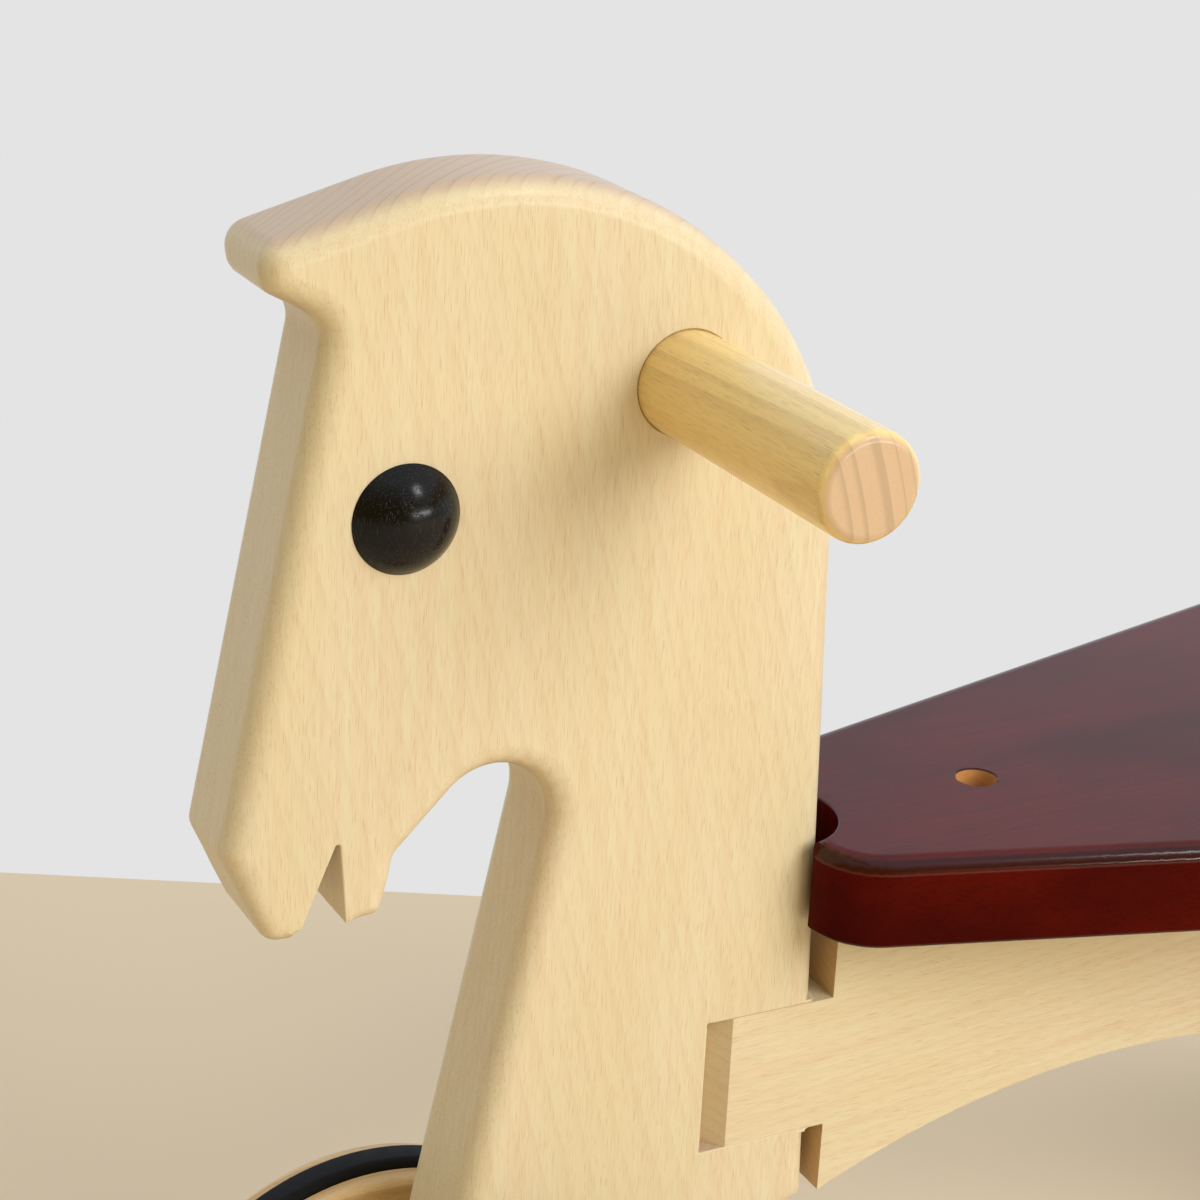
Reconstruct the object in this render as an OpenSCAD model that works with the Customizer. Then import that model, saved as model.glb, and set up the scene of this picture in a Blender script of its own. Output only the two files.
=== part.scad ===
// Wheeled wooden ride-on horse: three upright boards in line, a seat board, a handle and four wheels.
// The horse faces -X. The origin is on the floor, midway between the axles, on the centre plane.

/* [Overall] */
// Distance from the front axle to the rear axle
wheel_base = 420; // [400:5:510]
// Height of the seat's top above the floor
seat_height = 216; // [196:2:262]
// Height of the handle's axis above the seat's top
handle_rise = 122; // [110:1:148]
// Length of the spine beam between its two shoulders
beam_len = 201; // [180:1:245]

/* [Boards] */
// Thickness of the head board, spine beam and hind board
board_t = 30; // [24:1:36]
// Distance forward from the beam's shoulder to the handle's axis
handle_fore = 54; // [50:1:60]
// Gap left between a board and the beam's shoulder
joint_gap = 3; // [2:0.5:6]
// Height of the beam at the middle of its arch
beam_waist = 60; // [50:1:72]
// Radius of the arch under the belly
arch_r = 245; // [225:1:294]
// Distance from the axle's centre down to the foot's lower edge
foot_drop = 26; // [20:1:31]
// Distance from the axle's centre to the foot's front and rear edges
foot_reach = 28; // [26:1:33]
// Distance from the axle in to where the belly's arch meets the foot
arch_end = 50; // [44:1:58]
// Height above the handle's axis of the corner that the mane's arc rounds
mane_peak = 60; // [52:1:70]
// Top corner of the neck's rear face, from the handle's axis
neck_top = [42.8, 1.5];
// Distance from the rear end of the seat in to the rear edge of the haunch
haunch_inset = 8; // [4:1:14]
// Radius of the hollow between the rear shin and the haunch
haunch_r = 60; // [50:1:70]

/* [Tongue joints] */
// Length of each tongue beyond the shoulder
tongue_len = 36; // [30:0.5:43]
// Height of each tongue
tongue_h = 37.5; // [30:0.5:45]
// Distance from the beam's top down to the tongue
tongue_drop = 24; // [18:1:29]
// Empty space between the tongue's tip and the end of its slot
slot_gap = 1; // [0.5:0.25:2]
// Width of the bevel on the tongue's upright edges
tongue_bevel = 6.5; // [4:0.5:8]
// Diameter of the dowels hidden in each joint
dowel_d = 8; // [6:1:9]
// Depth of each dowel in the wood on either side
dowel_depth = 15; // [12:1:18]
// Distance between the two dowels of a joint
dowel_pitch = 19; // [16:1:22]

/* [Seat] */
// Length of the seat board
seat_len = 268; // [230:1:322]
// Thickness of the seat board
seat_t = 24; // [20:1:29]
// Half width of the seat where its side lines meet its front line
seat_front_half = 32; // [27:1:38]
// Angle of each side line to the centre plane
seat_flare = 15.5; // [13:0.5:18]
// Distance of the seat's front line ahead of the beam's shoulder
seat_fore = 12; // [10:1:14]
// Clearance between the neck's rear corners and the notch in the seat
notch_gap = 1; // [1:0.25:3]
// Distance of the notch's centre ahead of the seat's front line
notch_fore = 4; // [0:0.5:6]
// Radius of the seat's front corners
seat_front_r = 18; // [15:1:20]
// Radius of the seat's rear corners
seat_rear_r = 45; // [38:1:54]

/* [Seat screws] */
// Distance between the two screws in the beam
screw_pitch = 103; // [90:1:123]
// Distance of the rear screw behind the beam's rear shoulder
rear_screw_back = 30; // [26:1:35]
// Diameter of the counterbore in the seat
counterbore_d = 11; // [10:0.5:13]
// Depth of the counterbore in the seat
counterbore_depth = 12; // [9:0.5:14]
// Diameter of the screw's head
screw_head_d = 9; // [8:0.5:9.5]
// Height of the screw's head
screw_head_h = 3; // [2:0.5:4]
// Diameter of the screw's shank
screw_d = 4.2; // [3.5:0.1:5]
// Depth of the screw's bore in the board under the seat
screw_bite = 26; // [20:1:31]
// Empty depth of the bore beyond the screw's tip
screw_room = 1; // [0.5:0.5:3]
// Radial clearance of the screw's shank in the seat
screw_gap = 0.3; // [0.1:0.1:0.6]

/* [Handle and eyes] */
// Diameter of the handle
handle_d = 25; // [21:0.5:30]
// Length of the handle
handle_len = 190; // [160:1:228]
// Radius on the handle's ends
handle_end_r = 2; // [1:0.5:3]
// Radial clearance of the glued pieces in their bores
glue_gap = 0.1; // [0.05:0.01:0.15]
// Distance of the eye ahead of the handle's axis
eye_fore = 69; // [62:1:74]
// Distance of the eye below the handle's axis
eye_below = 25; // [18:1:30]
// Diameter of the eye
eye_d = 26; // [22:1:31]
// Height of the eye's dome above the board
eye_h = 7; // [5:0.5:9]
// Diameter of the eye's peg
eye_peg_d = 10; // [8:1:12]
// Length of the eye's peg
eye_peg_len = 11; // [8:1:11.5]
// Empty depth of the bore beyond the eye's peg
eye_peg_room = 0.5; // [0.2:0.1:0.8]

/* [Wheels] */
// Diameter over the tyre
wheel_d = 120; // [112:1:144]
// Width of the wooden wheel
wheel_w = 21; // [18:0.5:25]
// Width of the rubber tyre
tyre_w = 9; // [7:0.5:11]
// Height of the tyre above the wood
tyre_proud = 2.5; // [1.5:0.5:4]
// Depth of the tyre's groove in the wood
tyre_sunk = 4; // [3:0.5:5]
// Radius of the edges of the wooden wheel
wheel_edge_r = 3; // [2:0.5:4]
// Radius of the edges of the tyre's tread
tyre_edge_r = 2; // [1:0.5:2.5]
// Depth of the turned recess in each face of the wheel
recess_depth = 1.5; // [1:0.25:2.5]
// Width of the slope at each side of the recess
recess_slope = 2; // [1:0.5:3]
// Width of the flat hub between the washer and the recess
hub_face = 12; // [8:1:15]
// Width of the rim between the recess and the tread
rim_face = 10; // [7:1:13]
// Gap between the board and the wheel
wheel_gap = 6.5; // [5:0.5:9]

/* [Axles] */
// Diameter of the axles
axle_d = 10; // [8:0.5:12]
// Radial running clearance of the bush on the axle
running_gap = 0.05; // [0.02:0.01:0.09]
// Outer diameter of the wheel's bush
bush_d = 16; // [14:1:18]
// Distance that the bush stands proud of each face of the wheel
bush_proud = 0.5; // [0.3:0.1:1]
// Side play of the wheel at each end of its bush
side_play = 0.3; // [0.2:0.1:0.6]
// Outer diameter of the spacers and washers
washer_d = 20; // [18:1:23]
// Thickness of the outer washer
washer_t = 1.5; // [1:0.5:2.5]
// Outer diameter of the cap
cap_d = 19; // [17:1:21]
// Height of the cap
cap_h = 8; // [7:0.5:10]
// Height of the straight side of the cap, below its dome
cap_side = 2; // [1:0.5:3]
// Depth of the axle in the cap
cap_grip = 5; // [4:0.5:5.5]

/* [Hidden] */
$fn = 96;

beech = "burlywood";
stained = "sienna";
steel = "silver";
front = -1;
rear = 1;
left = -1;
right = 1;
half_t = board_t / 2;
over = 1;
// Most of a straight stretch that the arc at one of its ends takes up
fillet_share = 0.75;

axle_z = wheel_d / 2;
axle_x = wheel_base / 2;
beam_top = seat_height - seat_t;
shoulder_x = beam_len / 2;
tongue_tip_x = shoulder_x + tongue_len;
slot_end_x = tongue_tip_x + slot_gap;
tongue_top = beam_top - tongue_drop;
arch_centre_z = beam_top - beam_waist - arch_r;
arch_edge_x = shoulder_x + joint_gap;
arch_foot_x = axle_x - arch_end;
handle_x = -shoulder_x - handle_fore;
handle_z = seat_height + handle_rise;
bush_len = wheel_w + 2 * bush_proud;
wheel_y = half_t + wheel_gap + wheel_w / 2;
bush_end_y = wheel_y + bush_len / 2;
washer_y = bush_end_y + side_play;
cap_y = washer_y + washer_t;
wood_r = wheel_d / 2 - tyre_proud;
seat_rear_x = -shoulder_x - seat_fore + seat_len;
screw_xs = [-screw_pitch / 2, screw_pitch / 2, shoulder_x + rear_screw_back];

function unit(v) = v / norm(v);

// Points of the arc that rounds corner b between its neighbours a and c. A corner is [x, z, radius].
// The radius is limited by the two straight stretches that the arc joins.
function corner_arc(a, b, c) =
    let(
        at = [b.x, b.y],
        u = unit([a.x, a.y] - at),
        w = unit([c.x, c.y] - at),
        half = acos(u * w) / 2,
        shorter = min(norm([a.x, a.y] - at), norm([c.x, c.y] - at)),
        radius = min(b.z, fillet_share * shorter * tan(half)),
        centre = at + unit(u + w) * radius / sin(half),
        from = at + u * radius / tan(half) - centre,
        turn = 180 - 2 * half,
        side = sign(cross(w, u)),
        steps = max(2, ceil(turn / 7))
    )
    b.z == 0 ? [at] : [for (i = [0:steps])
        let(t = atan2(from.y, from.x) + side * turn * i / steps)
        centre + radius * [cos(t), sin(t)]];

// Outline through a list of corners, each rounded by its own radius.
function rounded(corners) =
    let(n = len(corners))
    [for (i = [0:n - 1]) each corner_arc(corners[(i + n - 1) % n], corners[i], corners[(i + 1) % n])];

// Height of the belly's arch at distance x from the middle.
function arch_z(x) = arch_centre_z + sqrt(arch_r * arch_r - x * x);

// The underside that a leg shares with the arch, from the board's inner edge out to the foot.
function leg_underside(steps) = [for (i = [0:steps])
    let(x = arch_edge_x + (arch_foot_x - arch_edge_x) * i / steps)
    [x, arch_z(x), 0]];

// Corners of the foot around its axle, from its inner lower corner round to where the shin begins.
function foot_corners() = [
    [axle_x - foot_reach, axle_z - foot_drop, 18],
    [axle_x + foot_reach, axle_z - foot_drop, 20],
    [axle_x + foot_reach, axle_z + 16, 14],
    [axle_x + 1.5, axle_z + 37, 22]
];

function mirrored(corners) = [for (c = corners) [-c.x, c.y, c.z]];

function from_handle(corners) = [for (c = corners) [c.x + handle_x, c.y + handle_z, c.z]];

// X of the neck's rear face at height z.
function neck_back_x(z) =
    let(
        low = [-arch_edge_x, arch_z(arch_edge_x)],
        high = [handle_x, handle_z] + neck_top
    )
    low.x + (high.x - low.x) * (z - low.y) / (high.y - low.y);

// The head above the shin: throat, jaw, lips, chin, brow, forelock, mane and back of the neck.
function head_corners() = from_handle([
    [-18.8, -57.9, 15],
    [-68.5, -108.6, 6],
    [-72.6, -122.8, 3],
    [-81.8, -122.8, 0.8],
    [-83.6, -100.2, 0.6],
    [-93.8, -124.9, 2.5],
    [-100.5, -125.2, 5],
    [-111.2, -102, 5],
    [-87.2, 20.5, 7.5],
    [-101.5, 28.2, 5],
    [-103, 37.5, 6],
    [-25.3, mane_peak, 90],
    [neck_top.x, neck_top.y, 90]
]);

// The haunch above the rear shin, and its flat top under the seat.
function haunch_corners() = [
    [axle_x - 10, tongue_top - 30, haunch_r],
    [seat_rear_x - haunch_inset, beam_top, 14],
    [arch_edge_x - 1.5, beam_top, 2]
];

// Board in the centre plane from an outline in X and Z.
module upright(points) {
    rotate([90, 0, 0])
        linear_extrude(board_t, center = true)
            polygon(points);
}

// Cylinder along Y, centred at y.
module across(d, length, x, y, z) {
    translate([x, y, z])
        rotate([90, 0, 0])
            cylinder(d = d, h = length, center = true);
}

// Space for a tongue, open at the inner edge of its board.
module slot_cut(end) {
    mirror([end == front ? 1 : 0, 0, 0])
        translate([shoulder_x - over, -half_t - over, tongue_top - tongue_h])
            cube([slot_end_x - shoulder_x + over, board_t + 2 * over, tongue_h]);
}

// The two dowels that pin a tongue to its board, or the bores for them.
module joint_dowels(end, d) {
    for (side = [-1, 1])
        translate([end * (tongue_tip_x - dowel_depth), 0, tongue_top - tongue_h / 2 + side * dowel_pitch / 2])
            rotate([0, end * 90, 0])
                cylinder(d = d, h = 2 * dowel_depth + slot_gap);
}

module seat_screw_cut(x, from_z, to_z, d) {
    translate([x, 0, from_z])
        cylinder(d = d, h = to_z - from_z);
}

module head_board() {
    color(beech)
        difference() {
            upright(rounded(concat(mirrored(leg_underside(8)), mirrored(foot_corners()), head_corners())));
            slot_cut(front);
            joint_dowels(front, dowel_d);
            across(handle_d + 2 * glue_gap, board_t + 2 * over, handle_x, 0, handle_z);
            across(axle_d, board_t + 2 * over, -axle_x, 0, axle_z);
            for (side = [left, right])
                across(eye_peg_d + 2 * glue_gap, 2 * (eye_peg_len + eye_peg_room), handle_x - eye_fore,
                    side * half_t, handle_z - eye_below);
        }
}

module hind_board() {
    color(beech)
        difference() {
            upright(rounded(concat(leg_underside(8), foot_corners(), haunch_corners())));
            slot_cut(rear);
            joint_dowels(rear, dowel_d);
            across(axle_d, board_t + 2 * over, axle_x, 0, axle_z);
            seat_screw_cut(screw_xs[2], beam_top - screw_bite, beam_top + over, screw_d);
        }
}

// One tongue, from inside the beam to its bevelled tip.
module tongue(end) {
    mirror([end == front ? 1 : 0, 0, 0])
        translate([0, 0, tongue_top - tongue_h])
            linear_extrude(tongue_h)
                polygon([
                    [shoulder_x - over, -half_t],
                    [tongue_tip_x - tongue_bevel, -half_t],
                    [tongue_tip_x, -half_t + tongue_bevel],
                    [tongue_tip_x, half_t - tongue_bevel],
                    [tongue_tip_x - tongue_bevel, half_t],
                    [shoulder_x - over, half_t]
                ]);
}

module spine_beam() {
    arch = [for (i = [-12:12]) let(x = shoulder_x * i / 12) [x, arch_z(x)]];
    color(beech)
        difference() {
            union() {
                upright(concat(arch, [[shoulder_x, beam_top], [-shoulder_x, beam_top]]));
                tongue(front);
                tongue(rear);
            }
            joint_dowels(front, dowel_d);
            joint_dowels(rear, dowel_d);
            for (i = [0, 1])
                seat_screw_cut(screw_xs[i], beam_top - screw_bite, beam_top + over, screw_d);
        }
}

module seat() {
    front_x = -shoulder_x - seat_fore;
    notch_x = front_x - notch_fore;
    neck_x = max(neck_back_x(beam_top), neck_back_x(seat_height));
    notch_r = norm([max(0, neck_x - notch_x), half_t]) + notch_gap;
    rear_half = seat_front_half + seat_len * tan(seat_flare);
    outline = rounded([
        [front_x, -seat_front_half, seat_front_r],
        [seat_rear_x, -rear_half, seat_rear_r],
        [seat_rear_x, rear_half, seat_rear_r],
        [front_x, seat_front_half, seat_front_r]
    ]);
    color(stained)
        difference() {
            translate([0, 0, beam_top])
                linear_extrude(seat_t)
                    polygon(outline);
            translate([notch_x, 0, beam_top - over])
                cylinder(r = notch_r, h = seat_t + 2 * over);
            for (x = screw_xs) {
                seat_screw_cut(x, beam_top - over, seat_height + over, screw_d + 2 * screw_gap);
                seat_screw_cut(x, seat_height - counterbore_depth, seat_height + over, counterbore_d);
            }
        }
}

module seat_screws() {
    head_z = seat_height - counterbore_depth;
    color(steel)
        for (x = screw_xs)
            translate([x, 0, 0]) {
                translate([0, 0, head_z])
                    cylinder(d = screw_head_d, h = screw_head_h);
                translate([0, 0, beam_top - screw_bite + screw_room])
                    cylinder(d = screw_d, h = head_z - beam_top + screw_bite - screw_room + screw_head_h / 2);
            }
}

// Half profile of a turned peg with rounded ends, spun about the Z axis.
module turned(corners) {
    rotate_extrude()
        polygon(rounded(corners));
}

module handle() {
    color(beech)
        translate([handle_x, 0, handle_z])
            rotate([90, 0, 0])
                turned([
                    [0, -handle_len / 2, 0],
                    [handle_d / 2, -handle_len / 2, handle_end_r],
                    [handle_d / 2, handle_len / 2, handle_end_r],
                    [0, handle_len / 2, 0]
                ]);
}

// Domed eye whose peg enters the board; the dome is a cap of one sphere.
module eye(side) {
    dome_r = (eye_d * eye_d / 4 + eye_h * eye_h) / (2 * eye_h);
    rim = asin(eye_d / 2 / dome_r);
    dome = [for (i = [0:16])
        let(t = rim * (1 - i / 16))
        [dome_r * sin(t), eye_h - dome_r + dome_r * cos(t)]];
    peg = [[0, -eye_peg_len], [eye_peg_d / 2, -eye_peg_len], [eye_peg_d / 2, 0]];
    color("black")
        translate([handle_x - eye_fore, side * half_t, handle_z - eye_below])
            rotate([-side * 90, 0, 0])
                rotate_extrude()
                    polygon(concat(peg, dome));
}

module axle(end) {
    length = 2 * (cap_y + cap_grip);
    color(steel)
        translate([end * axle_x, 0, axle_z])
            rotate([90, 0, 0])
                cylinder(d = axle_d, h = length, center = true);
}

// A tube around an axle between two distances from the centre plane, on both sides.
module axle_rings(end, outer_d, inner_d, from_y, to_y) {
    for (side = [left, right])
        difference() {
            across(outer_d, to_y - from_y, end * axle_x, side * (from_y + to_y) / 2, axle_z);
            across(inner_d, to_y - from_y + 2 * over, end * axle_x, side * (from_y + to_y) / 2, axle_z);
        }
}

module spacers(end) {
    color("whitesmoke")
        axle_rings(end, washer_d, axle_d + 2 * glue_gap, half_t, wheel_y - bush_len / 2 - side_play);
}

module washers(end) {
    color(steel)
        axle_rings(end, washer_d, axle_d + 2 * glue_gap, washer_y, cap_y);
}

module caps(end) {
    color(steel)
        for (side = [left, right])
            translate([end * axle_x, side * cap_y, axle_z])
                rotate([-side * 90, 0, 0])
                    turned([
                        [axle_d / 2, 0, 0],
                        [cap_d / 2, 0, 0],
                        [cap_d / 2, cap_h, cap_h - cap_side],
                        [0, cap_h, 0],
                        [0, cap_grip, 0],
                        [axle_d / 2, cap_grip, 0]
                    ]);
}

// Moves a turned piece from the Z axis to one wheel's place on its axle.
module at_wheel(end, side) {
    translate([end * axle_x, side * wheel_y, axle_z])
        rotate([90, 0, 0])
            children();
}

// Wooden wheel with a groove for the tyre and a shallow recess in each face.
module wheel(end, side) {
    face = wheel_w / 2;
    recess_in = washer_d / 2 + hub_face;
    recess_out = wood_r - rim_face;
    color(beech)
        at_wheel(end, side)
            turned([
                [bush_d / 2, -face, 0],
                [recess_in, -face, 0],
                [recess_in + recess_slope, -face + recess_depth, 0],
                [recess_out - recess_slope, -face + recess_depth, 0],
                [recess_out, -face, 0],
                [wood_r, -face, wheel_edge_r],
                [wood_r, -tyre_w / 2, 0],
                [wood_r - tyre_sunk, -tyre_w / 2, 0],
                [wood_r - tyre_sunk, tyre_w / 2, 0],
                [wood_r, tyre_w / 2, 0],
                [wood_r, face, wheel_edge_r],
                [recess_out, face, 0],
                [recess_out - recess_slope, face - recess_depth, 0],
                [recess_in + recess_slope, face - recess_depth, 0],
                [recess_in, face, 0],
                [bush_d / 2, face, 0]
            ]);
}

module tyre(end, side) {
    color("black")
        at_wheel(end, side)
            turned([
                [wood_r - tyre_sunk, -tyre_w / 2, 0],
                [wheel_d / 2, -tyre_w / 2, tyre_edge_r],
                [wheel_d / 2, tyre_w / 2, tyre_edge_r],
                [wood_r - tyre_sunk, tyre_w / 2, 0]
            ]);
}

module bush(end, side) {
    color("whitesmoke")
        at_wheel(end, side)
            difference() {
                cylinder(d = bush_d, h = bush_len, center = true);
                cylinder(d = axle_d + 2 * running_gap, h = bush_len + 2 * over, center = true);
            }
}

module front_dowels() {
    color(beech) joint_dowels(front, dowel_d);
}

module rear_dowels() {
    color(beech) joint_dowels(rear, dowel_d);
}

head_board();
spine_beam();
hind_board();
seat();
seat_screws();
handle();
eye(left);  // left_eye
eye(right);  // right_eye
front_dowels();
rear_dowels();
axle(front);  // front_axle
axle(rear);  // rear_axle
spacers(front);  // front_spacers
spacers(rear);  // rear_spacers
washers(front);  // front_washers
washers(rear);  // rear_washers
caps(front);  // front_caps
caps(rear);  // rear_caps
wheel(front, left);  // front_left_wheel
wheel(front, right);  // front_right_wheel
wheel(rear, left);  // rear_left_wheel
wheel(rear, right);  // rear_right_wheel
tyre(front, left);  // front_left_tyre
tyre(front, right);  // front_right_tyre
tyre(rear, left);  // rear_left_tyre
tyre(rear, right);  // rear_right_tyre
bush(front, left);  // front_left_bush
bush(front, right);  // front_right_bush
bush(rear, left);  // rear_left_bush
bush(rear, right);  // rear_right_bush
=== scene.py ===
"""Looks of a wheeled wooden ride-on horse: routed beech, a stained seat, rubber tyres and steel fittings.

Shapes are worked out in millimetres from the CAD nodes and turned into metres as each mesh is made.
"""
import math

import bmesh
import bpy
import numpy as np
from mathutils import Matrix, Vector, geometry


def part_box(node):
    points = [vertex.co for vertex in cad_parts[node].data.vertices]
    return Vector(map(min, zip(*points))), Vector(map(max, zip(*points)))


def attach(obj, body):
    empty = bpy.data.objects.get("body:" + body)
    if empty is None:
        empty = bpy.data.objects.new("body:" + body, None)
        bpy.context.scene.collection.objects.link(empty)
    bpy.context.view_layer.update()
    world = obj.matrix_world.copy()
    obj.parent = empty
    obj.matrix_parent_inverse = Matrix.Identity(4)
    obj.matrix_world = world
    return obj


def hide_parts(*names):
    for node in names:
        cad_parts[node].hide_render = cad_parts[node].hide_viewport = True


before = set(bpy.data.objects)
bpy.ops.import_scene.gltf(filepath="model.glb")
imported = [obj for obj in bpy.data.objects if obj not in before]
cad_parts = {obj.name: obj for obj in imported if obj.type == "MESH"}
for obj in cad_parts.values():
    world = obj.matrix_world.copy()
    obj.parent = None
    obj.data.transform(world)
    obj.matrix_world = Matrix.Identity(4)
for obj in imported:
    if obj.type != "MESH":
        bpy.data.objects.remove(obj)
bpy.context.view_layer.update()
MM = 0.001
LEFT, RIGHT = -1, 1
FRONT, REAR = -1, 1


def box_mm(node):
    """Lowest and highest corner of a CAD node, in millimetres."""
    low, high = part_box(node)
    return np.array(low) / MM, np.array(high) / MM


# ---------------------------------------------------------------- places, from the frame
HALF_T = box_mm("head_board")[1][1]
HANDLE_LOW, HANDLE_HIGH = box_mm("handle")
HANDLE_R = (HANDLE_HIGH[2] - HANDLE_LOW[2]) / 2
HANDLE_X = (HANDLE_HIGH[0] + HANDLE_LOW[0]) / 2
HANDLE_Z = (HANDLE_HIGH[2] + HANDLE_LOW[2]) / 2
SEAT_LOW, SEAT_HIGH = box_mm("seat")
BEAM_HIGH = box_mm("spine_beam")[1]


# ---------------------------------------------------------------- outlines
def face_loops(node, axis, height):
    """Closed loops around the flat face of a CAD node at one height along an axis, longest first."""
    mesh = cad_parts[node].data
    corners = np.round(np.array([v.co for v in mesh.vertices]) / MM, 3)
    keep = [a for a in range(3) if a != axis]
    following = {}
    for polygon in mesh.polygons:
        points = corners[list(polygon.vertices)]
        if np.abs(points[:, axis] - height).max() > 0.01:
            continue
        flat = [tuple(p) for p in points[:, keep]]
        for a, b in zip(flat, flat[1:] + flat[:1]):
            if following.get(b) and a in following[b]:
                following[b].remove(a)
            else:
                following.setdefault(a, []).append(b)
    loops = []
    following = {a: bs for a, bs in following.items() if bs}
    while following:
        start = next(iter(following))
        loop, here = [], start
        while following.get(here):
            loop.append(here)
            after = following[here].pop()
            if not following[here]:
                del following[here]
            here = after
        loops.append(np.array(loop))
    return sorted(loops, key=lambda q: -np.linalg.norm(np.roll(q, -1, 0) - q, axis=1).sum())


def anticlockwise(points):
    x, y = points.T
    area = (x * np.roll(y, -1) - np.roll(x, -1) * y).sum()
    return points if area > 0 else points[::-1].copy()


def refine(points, step=1.6, sharp=20.0, bend=6.0):
    """The outline with its arcs made round and its straights divided, corners kept."""
    points = anticlockwise(points)
    ahead = np.roll(points, -1, 0) - points
    length = np.linalg.norm(ahead, axis=1)
    points, ahead, length = points[length > 1e-3], ahead[length > 1e-3], length[length > 1e-3]
    along = ahead / length[:, None]
    before = np.roll(along, 1, 0)
    before_length = np.roll(length, 1)
    turn = np.degrees(np.arccos(np.clip((along * before).sum(1), -1, 1)))
    ratio = length / before_length
    turned = np.where((ratio < 0.4)[:, None], before, along + before)
    tangent = np.where((ratio > 2.5)[:, None], along, turned)
    tangent /= np.linalg.norm(tangent, axis=1)[:, None]
    result = []
    n = len(points)
    for i in range(n):
        j = (i + 1) % n
        out = tangent[i] if turn[i] < sharp else along[i]
        into = tangent[j] if turn[j] < sharp else along[i]
        curve = math.degrees(math.acos(min(1.0, out @ into)))
        parts = max(1, math.ceil(length[i] / step), math.ceil(curve / bend))
        for k in range(parts):
            t = k / parts
            result.append((2 * t**3 - 3 * t**2 + 1) * points[i] + (t**3 - 2 * t**2 + t) * length[i] * out
                          + (3 * t**2 - 2 * t**3) * points[j] + (t**3 - t**2) * length[i] * into)
    return np.array(result)


def outward(points):
    """Unit normals that point out of an anticlockwise outline."""
    ahead = np.roll(points, -1, 0) - points
    ahead /= np.linalg.norm(ahead, axis=1)[:, None]
    both = ahead + np.roll(ahead, 1, 0)
    both /= np.linalg.norm(both, axis=1)[:, None] + 1e-9
    return np.stack([both[:, 1], -both[:, 0]], 1)


def nearest_on(points, outline):
    """The nearest point of a closed outline to each of some points."""
    start, span = outline, np.roll(outline, -1, 0) - outline
    size = (span**2).sum(1)
    result = np.empty_like(points)
    for i, p in enumerate(points):
        t = np.clip(((p - start) * span).sum(1) / size, 0, 1)
        candidates = start + span * t[:, None]
        result[i] = candidates[((p - candidates) ** 2).sum(1).argmin()]
    return result


def room(outline, normals, most):
    """How far each point can move inwards before it meets what moves in from the other side."""
    low, high = np.zeros(len(outline)), np.full(len(outline), most)
    for _ in range(14):
        middle = (low + high) / 2
        moved = outline - normals * middle[:, None]
        clear = np.linalg.norm(moved - nearest_on(moved, outline), axis=1) > middle * 0.995 - 0.004
        low, high = np.where(clear, middle, low), np.where(clear, high, middle)
    return high


def inside(points, outline):
    """True for each point inside a closed outline, by the even-odd rule."""
    x, y = points[:, 0:1], points[:, 1:2]
    ax, ay = outline.T
    bx, by = np.roll(outline, -1, 0).T
    crosses = (ay > y) != (by > y)
    where = ax + (y - ay) * (bx - ax) / np.where(by == ay, 1e-9, by - ay)
    return (crosses & (x < where)).sum(1) % 2 == 1


def eased(values, points, reach):
    """Values along an outline averaged over a stretch of it on either side."""
    step = np.linalg.norm(np.roll(points, -1, 0) - points, axis=1)
    place = np.concatenate([[0], np.cumsum(step)[:-1]])
    total = step.sum()
    gap = np.abs(place[:, None] - place[None, :])
    gap = np.minimum(gap, total - gap)
    weight = np.clip(1 - gap / reach, 0, None) * step[None, :]
    return (weight * values[None, :]).sum(1) / weight.sum(1)


# ---------------------------------------------------------------- meshes
def new_piece(name, verts, faces):
    """A mesh object from points in millimetres, welded, with its normals outwards."""
    mesh = bpy.data.meshes.new(name)
    mesh.from_pydata([tuple(v) for v in np.asarray(verts) * MM], [], faces)
    bm = bmesh.new()
    bm.from_mesh(mesh)
    bmesh.ops.remove_doubles(bm, verts=bm.verts, dist=0.004 * MM)
    bmesh.ops.dissolve_degenerate(bm, edges=bm.edges, dist=0.002 * MM)
    loose = [v for v in bm.verts if not v.link_faces]
    bmesh.ops.delete(bm, geom=loose, context="VERTS")
    bmesh.ops.recalc_face_normals(bm, faces=bm.faces)
    bm.to_mesh(mesh)
    bm.free()
    piece = bpy.data.objects.new(name, mesh)
    bpy.context.scene.collection.objects.link(piece)
    return piece


def smooth(piece, angle=32.0):
    """Smooth shading with creases above an angle, and flat faces that stay flat."""
    piece.data.shade_smooth()
    piece.data.set_sharp_from_angle(angle=math.radians(angle))
    weighted = piece.modifiers.new("weighted", "WEIGHTED_NORMAL")
    weighted.keep_sharp = True
    return piece


def strip(first, second, count):
    """Faces between two closed rings of points."""
    return [(first + i, first + (i + 1) % count, second + (i + 1) % count, second + i) for i in range(count)]


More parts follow.
